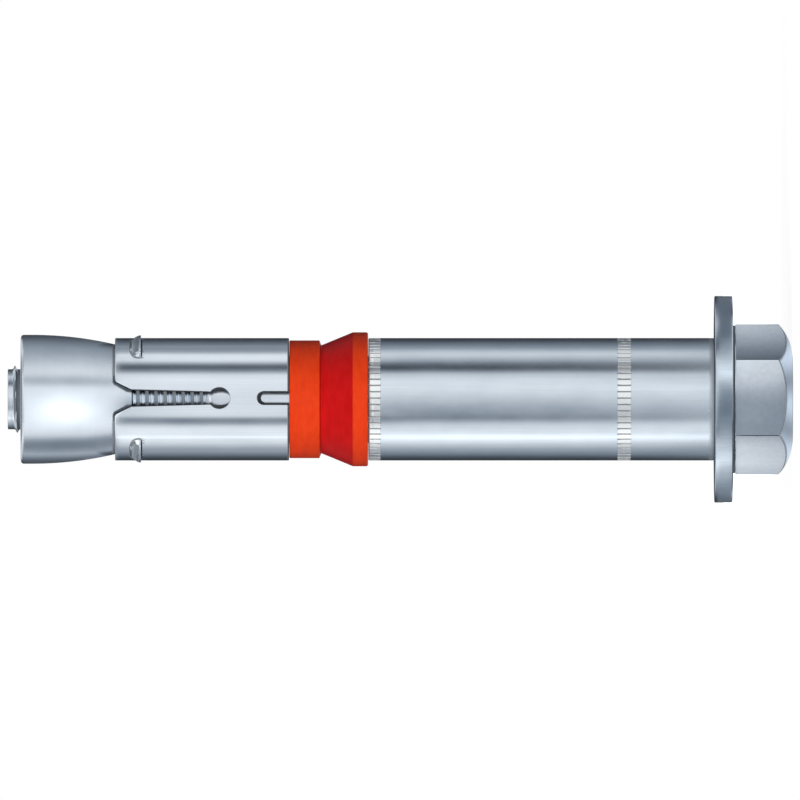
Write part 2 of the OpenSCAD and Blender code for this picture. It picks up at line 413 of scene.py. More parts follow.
nut_zinc = zinc(
    "zinc_on_turned_cone", (0.7, 0.77, 0.85), (0.75, 0.82, 0.9), TURNED,
    lines=0.35, rough=0.19, shaded=finger_contact_shadow,
)
washer_zinc = zinc(
    "zinc_on_stamped_washer", (0.55, 0.64, 0.73), (0.6, 0.69, 0.78), STAMPED,
    lines=0.8, rough=0.16, rub=0.1,
)

# %% [markdown]
# The bolt has two finishes in one piece. Its head is forged, with a slightly soft, mottled skin,
# and its shank is drawn and then rolled, so the lines change from one to the other at the collar.

# %% Zinc on the bolt
FORGED, ROLLED_LINES = (1.6, 1.6, 1.6), (5.0, 5.0, 0.2)
HEAD_H, COLLAR_H, THREAD_LOW, THREAD_DEPTH = 7.9, 0.35, 80.0, 0.7
TOP = HEAD_H + COLLAR_H


def bolt_painted_shade(place):
    """1 where shade is painted: thread roots, last groove, strip under the head, rim of the crown.
    """
    height, radius = height_and_radius(place)
    low, high = nut_top - 0.6, nut_top + 0.5
    last = 0.75 * height.within(low, low + 0.3, high - 0.15, high)
    threaded = height.within(THREAD_LOW - 0.5, THREAD_LOW + 0.5, low, low + 0.3)
    roots = 0.5 * threaded * radius.between(shank_r - 0.5, shank_r - THREAD_DEPTH)
    under_head = 0.75 * height.within(HEAD_H + 0.08, HEAD_H + 0.12, TOP + 0.05, TOP + 0.15)
    return last + roots + under_head + marked_shade(place)


bolt_zinc = zinc(
    "zinc_on_forged_bolt", (0.68, 0.75, 0.83), (0.74, 0.81, 0.89), FORGED,
    lines=0.6, rough=0.16, rub=0.0, turned_too=(8.0, 8.6, ROLLED_LINES), shaded=bolt_painted_shade,
)

# %% [markdown]
# ## Moulded orange plastic
#
# The crush ring is moulded. Its thick rim and collar look orange, and the thin flare between them,
# which is meant to fold up, is painted a deeper red as painted shade. A mask over the height tells
# them apart. The skin has faint flow marks and a fine texture, and a soft gloss.

# %% Plastic finish
flare_foot = ring_foot + 2.1
flare_top = ring_foot + 6.58


def plastic(name):
    """Glossy orange plastic, painted a deeper red on the thin flare as painted shade."""
    material, shader, place = new_material(name)
    height, _ = height_and_radius(place)
    thin = height.within(flare_foot - 0.1, flare_foot + 0.1, flare_top - 0.05, flare_top + 0.1)
    flow = place.stretched(0.5, 0.5, 1.4).noise(3.0)
    speck = place.stretched(9, 9, 9).noise(2.0)
    thick = flow.between(0.3, 0.7).mix((0.79, 0.045, 0.006, 1), (0.86, 0.056, 0.008, 1))
    # Painted shade: the flare is a darker red than the rim and the collar
    flare_shade = flow.between(0.3, 0.7).mix((0.56, 0.005, 0.006, 1), (0.64, 0.008, 0.009, 1))
    rough = 0.36 + (flow - 0.5) * 0.14 + (speck - 0.5) * 0.08
    coat(shader, place, thin.mix(thick, flare_shade), rough, speck * 0.4 + flow * 0.6, 0.12, 0.03)
    shader.inputs["Specular IOR Level"].default_value = 0.08
    print("finish:", name)
    return material


ring_plastic = plastic("moulded_orange_plastic")

# %% [markdown]
# ## Fitting a piece
#
# Each mesh takes its finish, moves with its body and stands for its solid.

# %% Fit helper
def fit(piece, material, body, node):
    """Gives a piece its finish and its body, and hides the solid that it stands for."""
    piece.data.materials.append(material)
    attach(piece, body)
    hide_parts(node)
    print(f"{piece.name}: {material.name}, rides on {body}")


# %% [markdown]
# ## The thread
#
# The thread is rolled, with a pitch of 1.25 mm. A bump texture would do from far away, but the
# slots of the sleeve show the thread from the side, so it is real geometry. Its rows follow the
# helix: a row that has gone once round has climbed one pitch and meets the row of the next turn.
# That keeps crests and roots sharp with few points. The bolt's thread and the nut's use the same
# function, so they mesh at every pose.

# %% Thread rows
PITCH = 1.25
# Place in the pitch, from the middle of a crest, and share of the depth
THREAD_POINTS = [
    (-0.0625, 0.06), (-0.035, 0.0), (0.035, 0.0), (0.0625, 0.06),
    (0.35, 0.9), (0.43, 1.0), (0.57, 1.0), (0.65, 0.9),
]


def thread(angles, low, high, outer):
    """Points and faces of a helical thread; outer(height, depth) gives the radius."""
    turns = np.arange(math.floor(low / PITCH) - 2, math.ceil(high / PITCH) + 2)
    offsets = np.array([(n + p) * PITCH for n in turns for p, _ in THREAD_POINTS])
    depths = np.array([d for _ in turns for _, d in THREAD_POINTS])
    heights = offsets[:, None] + PITCH * angles[None, :] / (2 * np.pi)
    heights = np.clip(heights, low, high)
    radii = outer(heights, np.broadcast_to(depths[:, None], heights.shape))
    points = around(radii, heights, angles[None, :])
    columns, step = len(angles), len(THREAD_POINTS)
    faces = []
    for i in range(len(offsets) - 1):
        for j in range(columns):
            next_j, climb = (j + 1, 0) if j + 1 < columns else (0, step)
            if i + 1 + climb < len(offsets):
                faces.append((
                    i * columns + j,
                    (i + climb) * columns + next_j,
                    (i + climb + 1) * columns + next_j,
                    (i + 1) * columns + j,
                ))
    return points, faces


def fade(heights, start, end):
    """0 at start, 1 at end, smooth in between."""
    t = np.clip((heights - start) / (end - start), 0, 1)
    return t * t * (3 - 2 * t)


print(f"thread depth {THREAD_DEPTH} mm at {PITCH} mm pitch")

# %% [markdown]
# ## The hex bolt
#
# A forged head is a hexagon cut by a domed crown. Each column of points runs from the middle of
# the end, over the crown, up the flat, across the collar and along the shank. Where the column
# leaves the crown depends on how far out the hexagon is in that direction, and that alone draws
# the curved edges of a hex head. The corners are slightly rounded, as forging leaves them.

# %% Hexagon
COLLAR_R, FLAT_R, CROWN_R, ACROSS, EDGE_R = 10.2, 5.5, 7.0, 9.0, 0.12
near_corner = [0.11, 0.22, 0.33, 0.6, 1.2]
sextant = [0, *near_corner, *np.arange(3, 58.5, 1.5), *[60 - a for a in near_corner[::-1]]]
angles = np.radians([60 * k + a for k in range(6) for a in sextant])


def hexagon(angles, corner=0.12):
    """Radius of a hexagon with rounded corners on the X axis, in each direction."""
    half = np.radians(30)
    off = half - np.abs(np.mod(angles, 2 * half) - half)
    flat = ACROSS / np.cos(half - off)
    middle = (ACROSS - corner) / np.cos(half)
    reach = corner**2 - (middle * np.sin(off)) ** 2
    bend = middle * np.cos(off) + np.sqrt(np.maximum(reach, 0))
    on_bend = off < np.arctan2(corner * 0.5, middle + corner * np.cos(half))
    return np.where(on_bend, bend, flat)


side_r = hexagon(angles)
print(f"hexagon: {side_r.min():.2f} to {side_r.max():.2f} mm from the axis")

# %% Head, collar and shank
# Where a crown with an edge round meets the flat, along the crown's own arc
lean = np.arcsin((side_r - EDGE_R - FLAT_R) / (CROWN_R - EDGE_R))
crown_rows = [
    (FLAT_R + CROWN_R * np.sin(lean * t), CROWN_R - CROWN_R * np.cos(lean * t))
    for t in np.linspace(0, 1, 14)
]
round_middle = CROWN_R - (CROWN_R - EDGE_R) * np.cos(lean)
edge_rows = [
    (
        side_r - EDGE_R + EDGE_R * np.sin(lean + (np.pi / 2 - lean) * t),
        round_middle - EDGE_R * np.cos(lean + (np.pi / 2 - lean) * t),
    )
    for t in (0.25, 0.5, 0.75, 1.0)
]
flat_rows = [(FLAT_R * t, 0) for t in (0, 0.25, 0.5, 0.75, 0.97)]
side_rows = [
    (side_r, edge_rows[-1][1] * (1 - t) + (HEAD_H - 0.03) * t)
    for t in (0.004, 0.015, 0.06, 0.2, 0.4, 0.6, 0.8, 0.94, 0.985, 1)
]
collar_rows = [
    (side_r - 0.03, HEAD_H),
    (COLLAR_R, HEAD_H), (COLLAR_R, TOP - 0.06), (COLLAR_R - 0.02, TOP - 0.02),
    (COLLAR_R - 0.06, TOP), (8.0, TOP), (shank_r + 0.4, TOP), (shank_r + 0.2, TOP + 0.054),
    (shank_r + 0.054, TOP + 0.2), *[(shank_r, z) for z in (TOP + 0.4, 30.0, 60.0, THREAD_LOW)],
]
rows = flat_rows + crown_rows + edge_rows + side_rows + collar_rows
head_points = wound(rows, angles)
head_faces = quads(len(rows), len(angles))
print(f"head and shank: {len(rows)} rows of {len(angles)} points")

# %% [markdown]
# Behind the nut the thread ends in a lead-in: a short cone, one last ridge of thread that climbs
# round the tip and fades out, and a plain pilot. The ridge is a bump on the pilot's radius that
# follows the same helix.

# %% Thread and tip
THREAD_HIGH = bolt_tip - 3.05


def bolt_radius(heights, depth):
    """Radius of the rolled thread, which fades in from the shank and out at the tip."""
    rolled = shank_r - THREAD_DEPTH * depth * fade(heights, THREAD_LOW, THREAD_LOW + 1.6)
    return np.minimum(rolled, shank_r - fade(heights, THREAD_HIGH - 0.3, THREAD_HIGH) * 0.75)


thread_points, thread_faces = thread(angles, THREAD_LOW, THREAD_HIGH, bolt_radius)
CONE_R, CONE_FALL, PILOT_R, RIDGE = 5.25, 0.88, 4.15, 0.5
along = np.mod(angles - np.pi / 2, 2 * np.pi)
crest = bolt_tip - 1.475 + 0.33 * along / np.pi
tip_rows = [(CONE_R, THREAD_HIGH)]
for height in np.linspace(THREAD_HIGH, bolt_tip - 0.12, 46)[1:]:
    cone = CONE_R - (height - THREAD_HIGH) * CONE_FALL
    near = np.exp(-(((height - crest) / 0.18) ** 2))
    swell = RIDGE * near * fade(along, 0, 0.9) * fade(-along, -2 * np.pi, -5.3)
    tip_rows.append((max(cone, PILOT_R) + swell, height))
tip_rows.append((PILOT_R - 0.03, bolt_tip - 0.03))
tip_rows += [(radius, bolt_tip) for radius in (PILOT_R - 0.12, 3.0, 1.5, 0)]
tip_points = wound(tip_rows, angles)
# The rim of the crown is painted darker, as a line of painted shade
rim_shade = np.zeros((len(rows), len(angles)))
rim_shade[len(flat_rows + crown_rows) - 1 : len(flat_rows + crown_rows + edge_rows)] = 0.6
first = len(head_points)
second = first + len(thread_points)
bolt = finished(
    "bolt_with_rolled_thread",
    np.concatenate([head_points, thread_points, tip_points]),
    head_faces
    + [tuple(k + first for k in face) for face in thread_faces]
    + quads(len(tip_rows), len(angles), first=second),
    shade_share=np.concatenate([rim_shade.ravel(), np.zeros(len(thread_points) + len(tip_points))]),
)
fit(bolt, bolt_zinc, "bolt", "hex_bolt")

# %% [markdown]
# ## The washer
#
# A thick washer is stamped from plate. The punch rolls one pair of edges over and leaves the other
# pair a little sharper. A Bevel modifier would round all four edges alike, so each corner of the
# outline carries its own round instead, which becomes an arc before the outline is spun.

# %% Rings turned from an outline
def rounded(corners, steps=5):
    """A closed outline of (radius, height, round) corners, each corner replaced by an arc."""
    outline = []
    count = len(corners)
    for i in range(count):
        here = np.array(corners[i][:2], float)
        to_last = np.array(corners[i - 1][:2], float) - here
        to_next = np.array(corners[(i + 1) % count][:2], float) - here
        to_last /= np.linalg.norm(to_last)
        to_next /= np.linalg.norm(to_next)
        size = corners[i][2]
        if not size:
            outline.append(here)
            continue
        half = math.acos(np.clip(to_last @ to_next, -1, 1)) / 2
        halfway = (to_last + to_next) / np.linalg.norm(to_last + to_next)
        middle = here + halfway * size / math.sin(half)
        a = here + to_last * size / math.tan(half) - middle
        b = here + to_next * size / math.tan(half) - middle
        sweep = math.atan2(a[0] * b[1] - a[1] * b[0], a @ b)
        for t in np.linspace(0, sweep, steps):
            turn = np.array([[math.cos(t), -math.sin(t)], [math.sin(t), math.cos(t)]])
            outline.append(middle + turn @ a)
    return np.array(outline)


def held(outline, near=0.05):
    """The outline with points close to the ends of its long sides, which keep them flat."""
    kept = []
    for here, there in zip(outline, np.roll(outline, -1, axis=0)):
        kept.append(here)
        gap = np.linalg.norm(there - here)
        if gap > 6 * near:
            step = (there - here) * near / gap
            kept += [here + step, there - step]
    return np.array(kept)


def turned(name, corners, columns=240, steps=5):
    """A ring turned from a closed outline of (radius, height, round) corners."""
    outline = held(rounded(corners, steps))
    angles = np.linspace(0, 2 * np.pi, columns, endpoint=False)
    points = around(outline[:, :1], outline[:, 1:], angles)
    return finished(name, points, quads(len(outline), columns, closed=True))


# %% Washer
HOLE_R = 6.5
washer = turned(
    "stamped_washer",
    [
        (HOLE_R, washer_foot, 0.2),
        (washer_r, washer_foot, 0.12),
        (washer_r, washer_top, 0.16),
        (HOLE_R, washer_top, 0.35),
    ],
    steps=7,
)
fit(washer, washer_zinc, "washer", "washer")

# %% [markdown]
# ## The spacer sleeve
#
# The sleeve is drawn tube with two straight-knurled bands. The grooves are pressed in, so they are
# modelled: the rows inside a band dip at every groove, and the rows just outside do not. Only the
# bands need rows close together.

# %% Knurled tube
GROOVES, GROOVE_DEPTH = 60, 0.14
# Places in the pitch of one groove: the V, its two edges and the land
PLACES = np.array([0, 0.08, 0.16, 0.2, 0.35, 0.5, 0.65, 0.8, 0.84, 0.92])
KNURL_COLUMNS = GROOVES * len(PLACES)
turn = (np.arange(GROOVES)[:, None] + PLACES).ravel() * 2 * np.pi / GROOVES
groove = np.tile(np.clip(1 - np.minimum(PLACES, 1 - PLACES) / 0.16, 0, 1) * GROOVE_DEPTH, GROOVES)
EDGE = 0.15


def into_band(z):
    """Rows (height, inset, share of the grooves) that lead from the plain tube into a band."""
    return [(z + step, 0, step > 0) for step in (-0.3, -0.12, -0.02, 0.06, 0.9)]


outside = [
    (spacer_foot, -EDGE, 0), (spacer_foot + EDGE * 0.3, -EDGE * 0.3, 0),
    *[(spacer_foot + z, 0, 0) for z in (EDGE, EDGE + 0.04, EDGE + 0.15, 4, 8)],
    *into_band(LOW_BAND[0]),
    *[(LOW_BAND[1] + step, 0, step < 0) for step in (-0.06, 0.02, 0.12, 0.3)],
    *[(z, 0, 0) for z in np.linspace(LOW_BAND[1] + 4, TOP_BAND[0] - 4, 6)],
    *into_band(TOP_BAND[0]), (spacer_top - EDGE, 0, 1),
    (spacer_top - EDGE * 0.3, -EDGE * 0.3, 0.8), (spacer_top, -EDGE, 0.3),
]
tube_rows = [(sleeve_r + inset - depth * groove, z) for z, inset, depth in outside]
tube_rows += [(bore_r, z) for z in np.linspace(spacer_top, spacer_foot, 4)]
spacer = finished(
    "knurled_spacer_sleeve",
    wound(tube_rows, turn),
    quads(len(tube_rows), KNURL_COLUMNS, closed=True),
)
fit(spacer, sleeve_zinc, "spacer", "spacer_sleeve")

# %% [markdown]
# ## The crush ring
#
# The ring is one moulding: a rim that grips the hole, a flare that folds up when the bolt is
# tightened, a weak neck and a collar. Moulded edges are never sharp, so each corner of its outline
# has a small round.

# %% Moulded ring
NECK_R, RING_COLLAR_R = 7.45, 8.125
ring = turned(
    "moulded_crush_ring",
    [
        (bore_r, ring_foot, 0.1),
        (rim_r, ring_foot, 0.25),
        (rim_r, flare_foot, 0.45),
        (NECK_R, flare_foot + 4.36, 0.12),
        (RING_COLLAR_R, flare_foot + 4.6, 0.1),
        (RING_COLLAR_R, ring_top, 0.15),
        (bore_r, ring_top, 0.1),
    ],
    steps=6,
)
fit(ring, ring_plastic, "sleeve", "crush_ring")

# %% [markdown]
# ## The cone nut
#
# The nut is turned from bar: a straight land, a rounded end and a flank with a long hollow curve
# that draws the sleeve apart. Its bore carries the same helix as the bolt, a hair wider.

# %% Turned cone with its thread
FLANK_R, LAND, END_ROUND = 50.0, 1.2, 0.4
NUT_CHAMFER, THREAD_GAP = 0.4, 0.06
land_z = nut_top - END_ROUND - LAND


def arc(x, z, radius, turns):
    """Points of an arc round a middle, at each turn."""
    return [(x + radius * math.cos(a), z + radius * math.sin(a)) for a in turns]


def flank(height):
    """Radius of the nut's flank at a height below the land."""
    return nut_r - FLANK_R + np.sqrt(FLANK_R**2 - (land_z - height) ** 2)


bore_mouth = shank_r + 0.05 + NUT_CHAMFER
BORE_LOW, BORE_HIGH = nut_foot + NUT_CHAMFER, nut_top - NUT_CHAMFER
nut_outline = [(shank_r + THREAD_GAP, BORE_LOW), (bore_mouth, nut_foot)]
nut_outline += [(flank(nut_foot) - 0.1, nut_foot), (flank(nut_foot) - 0.03, nut_foot + 0.03)]
nut_outline += [(flank(z), z) for z in np.linspace(nut_foot, land_z, 26)[1:]]
nut_outline += [(nut_r, z) for z in np.linspace(land_z + 0.3, nut_top - END_ROUND, 4)]
end_turns = np.linspace(0.2, np.pi / 2, 7)
nut_outline += arc(nut_r - END_ROUND, nut_top - END_ROUND, END_ROUND, end_turns)
nut_outline += [(7.6, nut_top), (bore_mouth, nut_top), (shank_r + THREAD_GAP, BORE_HIGH)]
nut_angles = np.linspace(0, 2 * np.pi, 240, endpoint=False)


def nut_radius(heights, depth):
    """Radius of the nut's thread, which runs out into the chamfer at both ends."""
    inside = fade(heights, BORE_LOW, BORE_LOW + 0.5) * fade(-heights, -BORE_HIGH, 0.5 - BORE_HIGH)
    return shank_r + THREAD_GAP - THREAD_DEPTH * depth * inside


bore_points, bore_faces = thread(nut_angles, BORE_LOW, BORE_HIGH, nut_radius)
shell_points = wound(nut_outline, nut_angles)
nut = finished(
    "cone_nut_with_thread",
    np.concatenate([shell_points, bore_points]),
    quads(len(nut_outline), len(nut_angles))
    + [tuple(k + len(shell_points) for k in face) for face in bore_faces],
)
fit(nut, nut_zinc, "nut", "cone_nut")

# %% [markdown]
# ## The expansion sleeve
#
# This is the working piece: a tube slit into three fingers. It could be cut from a tube with
# booleans, but those leave long thin faces that shade badly. Here one finger is drawn flat, as a
# sheet with its slots, and filled with even triangles. The sheet is then rolled up: once at the
# outer radius, with its edges rounded over, and once at the bore. A strip along the edge joins
# the two. Three copies make the sleeve. The slots are cut straight through the wall, so a point
# at a distance from a slot's middle sits at another angle outside than inside.

# %% Slots
HALF = np.pi / SLOTS
MOUTH_W, MOUTH_DEPTH, SHOULDER_R = 2.36, 2.34, 0.6
SLOT_W, SLOT_END_W, SLOT_LEN, KEYHOLE_R = 1.2, 0.9, 14.4, 1.5
REAR_W, REAR_LEN = 0.95, 4.4
keyhole_z = mouth_z - SLOT_LEN
rear_z = sleeve_foot + REAR_LEN - REAR_W


def half_slot():
    """(distance from the slot's middle, height) from the foot of the keyhole to the shoulder."""
    meet = math.asin(SLOT_END_W / KEYHOLE_R)
    edge = arc(0, keyhole_z, KEYHOLE_R, np.linspace(-np.pi / 2, np.pi / 2 - meet, 22))
    top = mouth_z - MOUTH_DEPTH
    edge += [
        (SLOT_END_W + (SLOT_W - SLOT_END_W) * t, edge[-1][1] + (top - edge[-1][1]) * t)
        for t in np.linspace(0, 1, 24)[1:]
    ]
    slant = math.atan2(MOUTH_W - SLOT_W, MOUTH_DEPTH)
    middle = MOUTH_W + SHOULDER_R * math.tan((np.pi / 2 - slant) / 2)
    turns = np.linspace(np.pi - slant, np.pi / 2, 8)
    shoulder = arc(middle, mouth_z - SHOULDER_R, SHOULDER_R, turns)
    start = np.array(edge[-1])
    edge += [tuple(start + (np.array(shoulder[0]) - start) * t) for t in (0.25, 0.5, 0.75)]
    return edge + shoulder


def half_rear_slot():
    """(distance from the slot's middle, height) from the foot of the sleeve to the slot's end."""
    edge = [(REAR_W, z) for z in np.linspace(sleeve_foot, rear_z, 10)]
    return edge + arc(0, rear_z, REAR_W, np.linspace(0, np.pi / 2, 10)[1:])


print(f"slot {SLOT_LEN} mm long, rear slot {REAR_LEN} mm")


# %% Edge of one finger, from slot to slot
def finger_edges(radius, pinch=(1, 1, 1, 1), rear_end=1):
    """Rim from keyhole to keyhole over the mouth, and foot from rear slot to rear slot."""

    def at(edge, side, narrow):
        def kept(z):
            at_keyhole = math.exp(-(((z - keyhole_z) / 1.2) ** 2))
            at_mouth = fade(z, mouth_z - 2.8, mouth_z - 1.8)
            return narrow - (1 - narrow) * (1.2 * at_keyhole - 0.6 * at_mouth)

        return [(side * (HALF - math.asin(w * kept(z) / radius(z))), z) for w, z in edge]

    right, left = at(half_slot(), 1, pinch[0]), at(half_slot(), -1, pinch[1])
    span = np.linspace(right[-1][0], left[-1][0], 60)[1:-1]
    rim = right + [(a, mouth_z) for a in span] + left[::-1]
    rear = [(w, sleeve_foot + (z - sleeve_foot) * rear_end) for w, z in half_rear_slot()]
    right, left = at(rear, 1, pinch[2]), at(rear, -1, pinch[3])
    span = np.linspace(left[0][0], right[0][0], 60)[1:-1]
    return np.array(rim), np.array(left[::-1] + [(a, sleeve_foot) for a in span] + right)


def set_in(edge, distance, scale):
    """The edge moved into the sheet, in (angle, height); scale is millimetres a radian."""
    flat = edge * (scale, 1)
    step = np.diff(flat, axis=0)
    step /= np.linalg.norm(step, axis=1)[:, None]
    normal = np.stack([-step[:, 1], step[:, 0]], 1)
    joint = np.concatenate([[[0, normal[0, 1]]], normal[:-1] + normal[1:], [[0, normal[-1, 1]]]])
    joint /= np.linalg.norm(joint, axis=1)[:, None]
    lengthen = np.concatenate([[1], 1 / np.maximum((joint[1:-1] * normal[:-1]).sum(1), 0.6), [1]])
    return (flat + joint * (np.asarray(distance) * lengthen)[:, None]) / (scale, 1)


rim, foot = finger_edges(lambda z: sleeve_r)
print(f"one finger: {len(rim)} points round the mouth, {len(foot)} round the foot")

# %% [markdown]
# The lugs between the slots keep the sleeve from turning in its hole. A punch shears the wall
# along one straight line and pushes a half-moon of metal outwards, so a lug ramps up from the
# mouth and ends in a cut edge. The half-moon is left out of the finger's sheet and filled with a
# raised patch; its straight side gets a wall.

# %% Lug
LUG_RISE, LUG_LEN, LUG_W, LUG_Z = 0.65, 1.56, 2.75, mouth_z - 3.56
FULL = 3


def from_lug(x, z):
    """0 in the middle of a lug's cut edge, 1 on its outline, which is a full half-moon."""
    sideways, up = np.abs(x) / LUG_W, np.maximum(z - LUG_Z, 0) / LUG_LEN
    return (sideways**FULL + up**FULL) ** (1 / FULL)


lug_turn = np.radians(np.linspace(90, -90, 61))
lug_arc = np.stack([LUG_W * np.sin(lug_turn), LUG_LEN * np.cos(lug_turn).clip(0)], 1)
lug_arc /= from_lug(lug_arc[:, 0], lug_arc[:, 1] + LUG_Z)[:, None]
# Steps from the middle of the cut edge to the outline, and one more on the plain tube
LUG_STEPS = np.array(
    [0, 0.15, 0.3, 0.42, 0.52, 0.6, 0.67, 0.73, 0.78, 0.82, 0.86, 0.9, 0.94, 0.97, 1, 1.06]
)
lug_grid = lug_arc * LUG_STEPS[:, None, None] + (0, LUG_Z)
across = LUG_W * np.concatenate([-LUG_STEPS[-2:0:-1], LUG_STEPS[:-1]])
tapered = 1 - (across / LUG_W) ** 10
SHEAR_W, SHEAR_DEPTH = 0.22, 0.35
shear_edge = np.stack([across, LUG_Z - SHEAR_W * tapered], 1)


def lug_height(x, z):
    """How far the lug stands out at a place of its half-moon."""
    ramp = np.clip(1.1 - 0.8 * (z - LUG_Z) / LUG_LEN, 0, 1)
    return LUG_RISE * ramp * fade(-from_lug(x, z), -1, -0.76) ** 0.7 - 0.2 * scoop(x, z)


def scoop(x, z):
    """1 in the middle of the hollow that the punch leaves on the ramp of a lug."""
    along = np.exp(-(((z - LUG_Z) / LUG_LEN - 0.5) / 0.22) ** 4)
    return along * np.clip(1 - (np.abs(x) / (LUG_W * 0.75)) ** 6, 0, 1)


print(f"lug: {2 * LUG_W} mm wide, {LUG_RISE} mm proud, {lug_grid.shape[0]} rows of points")


# %% [markdown]
# A sheet with holes is filled by a Delaunay triangulation, which Blender has among its geometry
# functions. Points in even rows keep the triangles well shaped. The fill covers the holes too, so
# a triangle whose middle lies in a hole is dropped.

# %% Filled sheets
def filled(outlines, spacing, keep):
    """Even triangles in the first outline and outside the others, in flat millimetres."""
    points = [p for outline in outlines for p in outline]
    edges, start = [], 0
    for outline in outlines:
        count = len(outline)
        edges += [(start + k, start + (k + 1) % count) for k in range(count)]
        start += count
    low, high = np.min(outlines[0], axis=0), np.max(outlines[0], axis=0)
    border = np.array(points)
    for row, z in enumerate(np.arange(low[1], high[1], spacing * 0.87)):
        for x in np.arange(low[0] + spacing / 2 * (1 + row % 2), high[0] - spacing * 0.4, spacing):
            clear = np.abs(border - (x, z)).max(1).min() > spacing * 0.45
            if clear and keep(x, z):
                points.append((x, z))
    corners = [tuple(map(float, p)) for p in points]
    made, _, triangles, *_ = delaunay_2d_cdt(corners, edges, [], 0, 1e-7)
    made = np.array([tuple(p) for p in made])
    inside = [t for t in triangles if in_outlines(made[list(t)].mean(0), outlines)]
    return made, inside


def in_outlines(point, outlines):
    """True inside the first outline and outside all others."""
    found = []
    for outline in outlines:
        a, b = np.asarray(outline), np.roll(outline, -1, axis=0)
        over = (a[:, 1] > point[1]) != (b[:, 1] > point[1])
        cross = (b[:, 0] - a[:, 0]) * (point[1] - a[:, 1])
        with np.errstate(divide="ignore", invalid="ignore"):
            reach = a[:, 0] + cross / (b[:, 1] - a[:, 1])
        found.append(np.count_nonzero(over & (point[0] < reach)) % 2 == 1)
    return found[0] and not any(found[1:])


# %% [markdown]
# Now the flat drawings are rolled up and joined: outer sheet, rounded edges, walls, bore and lug.

# %% Outer sheet of a finger
ROUND, FOOT_ROUND, HOLD = 0.07, 0.12, 0.05
OUT = sleeve_r


def rolled(flat, radius, scale):
    """Flat points (millimetres round the sleeve, height) on a tube of that radius."""
    flat = np.asarray(flat, float)
    return around(radius, flat[:, 1], flat[:, 0] / scale)


def closed_outline(rim, foot, scale):
    """Rim and foot of a finger as one flat outline, joined along the middles of the slots."""
    rim, foot = rim * (scale, 1), foot * (scale, 1)
    up = [(foot[-1][0], z) for z in np.linspace(foot[-1][1], rim[0][1], 8)[1:-1]]
    down = [(foot[0][0], z) for z in np.linspace(rim[-1][1], foot[0][1], 8)[1:-1]]
    return [tuple(p) for p in [*foot, *up, *rim, *down]]


parts = []
foot_ease = np.where(foot[:, 1] < sleeve_foot + 1e-6, FOOT_ROUND, ROUND)
inset_rim, inset_foot = set_in(rim, ROUND + HOLD, OUT), set_in(foot, foot_ease + HOLD, OUT)
lug_hole = [(OUT * math.asin(x / OUT), z) for x, z in [*lug_grid[-1], *shear_edge]]
sheet, sheet_faces = filled(
    [closed_outline(inset_rim, inset_foot, OUT), lug_hole],
    0.55,
    lambda x, z: from_lug(x, z) > 1.12 or z < LUG_Z - 0.6,
)
parts.append((rolled(sheet, OUT, OUT), sheet_faces, 0))
print(f"outer sheet: {len(sheet_faces)} triangles")


# %% Lug patch and its cut edge
def strip(rows, columns):
    """Faces between rows of points that do not close round the axis."""
    return [face for face in quads(rows, columns) if face[1] == face[0] + 1]


patch = lug_grid.reshape(-1, 2)
raised = around(OUT + lug_height(*patch.T), patch[:, 1], np.arcsin(patch[:, 0] / OUT))
# Painted shade in the lug's scoop and along its outline
outline_shade = 0.75 * (np.abs(from_lug(*patch.T) - 1) < 0.04)
parts.append((raised, strip(len(LUG_STEPS), len(lug_arc)), 0.5 * scoop(*patch.T) + outline_shade))
cut_turn = np.arcsin(across / OUT)
shear_wall = [
    around(OUT + lug_height(across, LUG_Z), LUG_Z, cut_turn),
    around(OUT - SHEAR_DEPTH * tapered, LUG_Z - 0.2 * SHEAR_W * tapered, cut_turn),
    around(OUT, LUG_Z - SHEAR_W * tapered, cut_turn),
]
count = len(across)
# Painted shadow along the cut edge of the lug
parts.append((np.concatenate(shear_wall), strip(3, count), np.repeat([0.4, 0.9, 0.5], count)))
print(f"lug patch: {len(patch)} points")

# %% Bore and edges of a finger
taper = (flank(mouth_z) - flank(nut_foot)) / (mouth_z - nut_foot)


def bore_at(z):
    """Radius of the bore, which opens to a taper at the mouth."""
    return np.maximum(bore_r, flank(mouth_z) + 0.12 - taper * (mouth_z - z))


# The cutter wanders a little, so a slot is narrower and shorter at the bore
inner_rim, inner_foot = finger_edges(bore_at, (0.87, 0.9, 0.7, 0.95), 0.88)
bore_outline = closed_outline(inner_rim, inner_foot, bore_r)
bore_sheet, bore_faces = filled([bore_outline], 0.6, lambda x, z: True)
parts.append((rolled(bore_sheet, bore_at(bore_sheet[:, 1]), bore_r), bore_faces, 0))

for edge, inner, ease in ((rim, inner_rim, ROUND), (foot, inner_foot, foot_ease)):
    moved = set_in(edge, ease + HOLD, OUT)
    strips = [around(OUT, moved[:, 1], moved[:, 0])]
    for t in np.linspace(np.pi / 2, 0, 4):
        moved = set_in(edge, ease * (1 - math.cos(t)), OUT)
        strips.append(around(OUT - ease + ease * math.sin(t), moved[:, 1], moved[:, 0]))
    strips.append(around(bore_at(inner[:, 1]), inner[:, 1], inner[:, 0]))
    parts.append((np.concatenate(strips), strip(len(strips), len(edge)), 0))
print(f"one finger: {len(parts)} sheets and strips")

